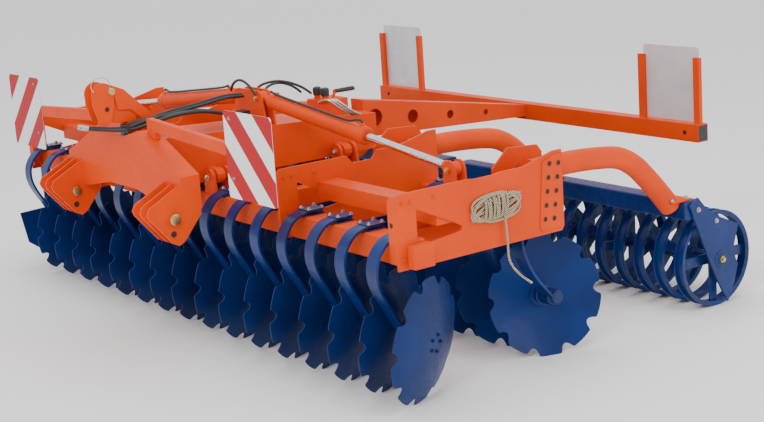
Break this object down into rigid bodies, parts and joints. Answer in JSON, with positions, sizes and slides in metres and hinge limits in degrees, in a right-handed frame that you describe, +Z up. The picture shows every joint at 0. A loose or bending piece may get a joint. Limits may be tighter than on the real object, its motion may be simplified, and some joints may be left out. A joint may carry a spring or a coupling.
{
  "type": "mounted folding disc harrow",
  "caption": "Tractor-mounted folding disc harrow: two hinged wings with rows of notched discs on spring arms, ring rollers behind, and hydraulic cylinders that fold the wings upright.",
  "frame": {"origin": "on the ground under the middle of the machine's length and width", "axes": "+X to the machine's left, +Y to its rear, +Z up"},
  "size_m": [4.1526, 3.09, 1.398],
  "materials": {
    "orange_paint": "gloss powder coat, orange red",
    "disc_blue": "gloss enamel, deep blue",
    "roller_blue": "satin enamel, deep blue",
    "chromed_rod": "polished",
    "sign_back": "bare sheet, satin",
    "warning_stripes": "red and white retroreflective stripes",
    "hose_rubber": "matte black",
    "rope_fibre": "twisted cord"
  },
  "bodies": {
    "centre": {"centre_frame": "orange_paint", "headstock": "orange_paint", "top_link_bracket": "orange_paint", "light_bar_carrier": "orange_paint", "light_bar": "orange_paint", "rear_sign_left": "sign_back", "rear_sign_right": "sign_back", "warning_panel_left": "warning_stripes", "warning_panel_right": "warning_stripes", "hoses": "hose_rubber", "valve_block": "orange_paint"},
    "wing_left": {"wing_frame_left": "orange_paint", "front_gang_left": "orange_paint", "rear_gang_left": "orange_paint", "roller_frame_left": "orange_paint", "pull_rope": "rope_fibre"},
    "wing_right": {"wing_frame_right": "orange_paint", "front_gang_right": "orange_paint", "rear_gang_right": "orange_paint", "roller_frame_right": "orange_paint", "side_deflector": "roller_blue"},
    "barrel_left": {"fold_barrel_left": "orange_paint"},
    "rod_left": {"fold_rod_left": "chromed_rod"},
    "roller_left": {"roller_left": "roller_blue"},
    "barrel_right": {"fold_barrel_right": "orange_paint"},
    "rod_right": {"fold_rod_right": "chromed_rod"},
    "roller_right": {"roller_right": "roller_blue"},
    "front_disc_01": {"front_disc_01": "disc_blue"},
    "front_disc_02": {"front_disc_02": "disc_blue"},
    "front_disc_03": {"front_disc_03": "disc_blue"},
    "front_disc_04": {"front_disc_04": "disc_blue"},
    "front_disc_05": {"front_disc_05": "disc_blue"},
    "front_disc_06": {"front_disc_06": "disc_blue"},
    "front_disc_07": {"front_disc_07": "disc_blue"},
    "front_disc_08": {"front_disc_08": "disc_blue"},
    "front_disc_09": {"front_disc_09": "disc_blue"},
    "front_disc_10": {"front_disc_10": "disc_blue"},
    "front_disc_11": {"front_disc_11": "disc_blue"},
    "front_disc_12": {"front_disc_12": "disc_blue"},
    "front_disc_13": {"front_disc_13": "disc_blue"},
    "front_disc_14": {"front_disc_14": "disc_blue"},
    "front_disc_15": {"front_disc_15": "disc_blue"},
    "front_disc_16": {"front_disc_16": "disc_blue"},
    "rear_disc_01": {"rear_disc_01": "disc_blue"},
    "rear_disc_02": {"rear_disc_02": "disc_blue"},
    "rear_disc_03": {"rear_disc_03": "disc_blue"},
    "rear_disc_04": {"rear_disc_04": "disc_blue"},
    "rear_disc_05": {"rear_disc_05": "disc_blue"},
    "rear_disc_06": {"rear_disc_06": "disc_blue"},
    "rear_disc_07": {"rear_disc_07": "disc_blue"},
    "rear_disc_08": {"rear_disc_08": "disc_blue"},
    "rear_disc_09": {"rear_disc_09": "disc_blue"},
    "rear_disc_10": {"rear_disc_10": "disc_blue"},
    "rear_disc_11": {"rear_disc_11": "disc_blue"},
    "rear_disc_12": {"rear_disc_12": "disc_blue"},
    "rear_disc_13": {"rear_disc_13": "disc_blue"},
    "rear_disc_14": {"rear_disc_14": "disc_blue"},
    "rear_disc_15": {"rear_disc_15": "disc_blue"},
    "rear_disc_16": {"rear_disc_16": "disc_blue"}
  },
  "joints": [
    {"name": "wing_left_fold", "type": "hinge", "parent": "centre", "child": "wing_left", "pos_m": [0.23573, -0.49, 0.86], "axis": [0, -1, 0], "range_deg": [0, 90]},
    {"name": "wing_right_fold", "type": "hinge", "parent": "centre", "child": "wing_right", "pos_m": [-0.26427, -0.49, 0.86], "axis": [0, 1, 0], "range_deg": [0, 90]},
    {"name": "barrel_left_swing", "type": "hinge", "parent": "centre", "child": "barrel_left", "pos_m": [0.08573, -0.495, 1.21], "axis": [0, -1, 0], "range_deg": [0, 100]},
    {"name": "rod_left_slide", "type": "slide", "parent": "barrel_left", "child": "rod_left", "axis": [0.9926, 0, -0.121], "range_m": [-0.52, 0]},
    {"name": "barrel_right_swing", "type": "hinge", "parent": "centre", "child": "barrel_right", "pos_m": [-0.11427, -0.495, 1.21], "axis": [0, 1, 0], "range_deg": [0, 100]},
    {"name": "rod_right_slide", "type": "slide", "parent": "barrel_right", "child": "rod_right", "axis": [-0.9926, 0, -0.121], "range_m": [-0.52, 0]},
    {"name": "roller_left_spin", "type": "hinge", "parent": "wing_left", "child": "roller_left", "pos_m": [0.98573, 1.125, 0.2608], "axis": [1, 0, 0], "continuous": true},
    {"name": "roller_right_spin", "type": "hinge", "parent": "wing_right", "child": "roller_right", "pos_m": [-1.01427, 1.125, 0.2608], "axis": [1, 0, 0], "continuous": true},
    {"name": "front_disc_01_spin", "type": "hinge", "parent": "wing_left", "child": "front_disc_01", "pos_m": [1.94848, -0.88393, 0.29632], "axis": [0.9047, 0.4028, -0.1392], "continuous": true},
    {"name": "front_disc_02_spin", "type": "hinge", "parent": "wing_left", "child": "front_disc_02", "pos_m": [1.69848, -0.88393, 0.29632], "axis": [0.9047, 0.4028, -0.1392], "continuous": true},
    {"name": "front_disc_03_spin", "type": "hinge", "parent": "wing_left", "child": "front_disc_03", "pos_m": [1.44848, -0.88393, 0.29632], "axis": [0.9047, 0.4028, -0.1392], "continuous": true},
    {"name": "front_disc_04_spin", "type": "hinge", "parent": "wing_left", "child": "front_disc_04", "pos_m": [1.19848, -0.88393, 0.29632], "axis": [0.9047, 0.4028, -0.1392], "continuous": true},
    {"name": "front_disc_05_spin", "type": "hinge", "parent": "wing_left", "child": "front_disc_05", "pos_m": [0.94848, -0.88393, 0.29632], "axis": [0.9047, 0.4028, -0.1392], "continuous": true},
    {"name": "front_disc_06_spin", "type": "hinge", "parent": "wing_left", "child": "front_disc_06", "pos_m": [0.69848, -0.88393, 0.29632], "axis": [0.9047, 0.4028, -0.1392], "continuous": true},
    {"name": "front_disc_07_spin", "type": "hinge", "parent": "wing_left", "child": "front_disc_07", "pos_m": [0.44848, -0.88393, 0.29632], "axis": [0.9047, 0.4028, -0.1392], "continuous": true},
    {"name": "front_disc_08_spin", "type": "hinge", "parent": "wing_left", "child": "front_disc_08", "pos_m": [0.19848, -0.88393, 0.29632], "axis": [0.9047, 0.4028, -0.1392], "continuous": true},
    {"name": "front_disc_09_spin", "type": "hinge", "parent": "wing_right", "child": "front_disc_09", "pos_m": [-0.05152, -0.88393, 0.29632], "axis": [0.9047, 0.4028, -0.1392], "continuous": true},
    {"name": "front_disc_10_spin", "type": "hinge", "parent": "wing_right", "child": "front_disc_10", "pos_m": [-0.30152, -0.88393, 0.29632], "axis": [0.9047, 0.4028, -0.1392], "continuous": true},
    {"name": "front_disc_11_spin", "type": "hinge", "parent": "wing_right", "child": "front_disc_11", "pos_m": [-0.55152, -0.88393, 0.29632], "axis": [0.9047, 0.4028, -0.1392], "continuous": true},
    {"name": "front_disc_12_spin", "type": "hinge", "parent": "wing_right", "child": "front_disc_12", "pos_m": [-0.80152, -0.88393, 0.29632], "axis": [0.9047, 0.4028, -0.1392], "continuous": true},
    {"name": "front_disc_13_spin", "type": "hinge", "parent": "wing_right", "child": "front_disc_13", "pos_m": [-1.05152, -0.88393, 0.29632], "axis": [0.9047, 0.4028, -0.1392], "continuous": true},
    {"name": "front_disc_14_spin", "type": "hinge", "parent": "wing_right", "child": "front_disc_14", "pos_m": [-1.30152, -0.88393, 0.29632], "axis": [0.9047, 0.4028, -0.1392], "continuous": true},
    {"name": "front_disc_15_spin", "type": "hinge", "parent": "wing_right", "child": "front_disc_15", "pos_m": [-1.55152, -0.88393, 0.29632], "axis": [0.9047, 0.4028, -0.1392], "continuous": true},
    {"name": "front_disc_16_spin", "type": "hinge", "parent": "wing_right", "child": "front_disc_16", "pos_m": [-1.80152, -0.88393, 0.29632], "axis": [0.9047, 0.4028, -0.1392], "continuous": true},
    {"name": "rear_disc_01_spin", "type": "hinge", "parent": "wing_left", "child": "rear_disc_01", "pos_m": [1.82339, -0.02852, 0.29632], "axis": [-0.9418, 0.306, -0.1392], "continuous": true},
    {"name": "rear_disc_02_spin", "type": "hinge", "parent": "wing_left", "child": "rear_disc_02", "pos_m": [1.57339, -0.02852, 0.29632], "axis": [-0.9418, 0.306, -0.1392], "continuous": true},
    {"name": "rear_disc_03_spin", "type": "hinge", "parent": "wing_left", "child": "rear_disc_03", "pos_m": [1.32339, -0.02852, 0.29632], "axis": [-0.9418, 0.306, -0.1392], "continuous": true},
    {"name": "rear_disc_04_spin", "type": "hinge", "parent": "wing_left", "child": "rear_disc_04", "pos_m": [1.07339, -0.02852, 0.29632], "axis": [-0.9418, 0.306, -0.1392], "continuous": true},
    {"name": "rear_disc_05_spin", "type": "hinge", "parent": "wing_left", "child": "rear_disc_05", "pos_m": [0.82339, -0.02852, 0.29632], "axis": [-0.9418, 0.306, -0.1392], "continuous": true},
    {"name": "rear_disc_06_spin", "type": "hinge", "parent": "wing_left", "child": "rear_disc_06", "pos_m": [0.57339, -0.02852, 0.29632], "axis": [-0.9418, 0.306, -0.1392], "continuous": true},
    {"name": "rear_disc_07_spin", "type": "hinge", "parent": "wing_left", "child": "rear_disc_07", "pos_m": [0.32338, -0.02852, 0.29632], "axis": [-0.9418, 0.306, -0.1392], "continuous": true},
    {"name": "rear_disc_08_spin", "type": "hinge", "parent": "wing_left", "child": "rear_disc_08", "pos_m": [0.07339, -0.02852, 0.29632], "axis": [-0.9418, 0.306, -0.1392], "continuous": true},
    {"name": "rear_disc_09_spin", "type": "hinge", "parent": "wing_right", "child": "rear_disc_09", "pos_m": [-0.17661, -0.02852, 0.29632], "axis": [-0.9418, 0.306, -0.1392], "continuous": true},
    {"name": "rear_disc_10_spin", "type": "hinge", "parent": "wing_right", "child": "rear_disc_10", "pos_m": [-0.42662, -0.02852, 0.29632], "axis": [-0.9418, 0.306, -0.1392], "continuous": true},
    {"name": "rear_disc_11_spin", "type": "hinge", "parent": "wing_right", "child": "rear_disc_11", "pos_m": [-0.67661, -0.02852, 0.29632], "axis": [-0.9418, 0.306, -0.1392], "continuous": true},
    {"name": "rear_disc_12_spin", "type": "hinge", "parent": "wing_right", "child": "rear_disc_12", "pos_m": [-0.92661, -0.02852, 0.29632], "axis": [-0.9418, 0.306, -0.1392], "continuous": true},
    {"name": "rear_disc_13_spin", "type": "hinge", "parent": "wing_right", "child": "rear_disc_13", "pos_m": [-1.17661, -0.02852, 0.29632], "axis": [-0.9418, 0.306, -0.1392], "continuous": true},
    {"name": "rear_disc_14_spin", "type": "hinge", "parent": "wing_right", "child": "rear_disc_14", "pos_m": [-1.42661, -0.02852, 0.29632], "axis": [-0.9418, 0.306, -0.1392], "continuous": true},
    {"name": "rear_disc_15_spin", "type": "hinge", "parent": "wing_right", "child": "rear_disc_15", "pos_m": [-1.67661, -0.02852, 0.29632], "axis": [-0.9418, 0.306, -0.1392], "continuous": true},
    {"name": "rear_disc_16_spin", "type": "hinge", "parent": "wing_right", "child": "rear_disc_16", "pos_m": [-1.92661, -0.02852, 0.29632], "axis": [-0.9418, 0.306, -0.1392], "continuous": true}
  ],
  "couplings": [
    {"joint": "barrel_left_swing", "follows": "wing_left_fold", "ratio": 1.0756},
    {"joint": "rod_left_slide", "follows": "wing_left_fold", "m_per_rad": -0.32616},
    {"joint": "barrel_right_swing", "follows": "wing_right_fold", "ratio": 1.0756},
    {"joint": "rod_right_slide", "follows": "wing_right_fold", "m_per_rad": -0.32616}
  ]
}
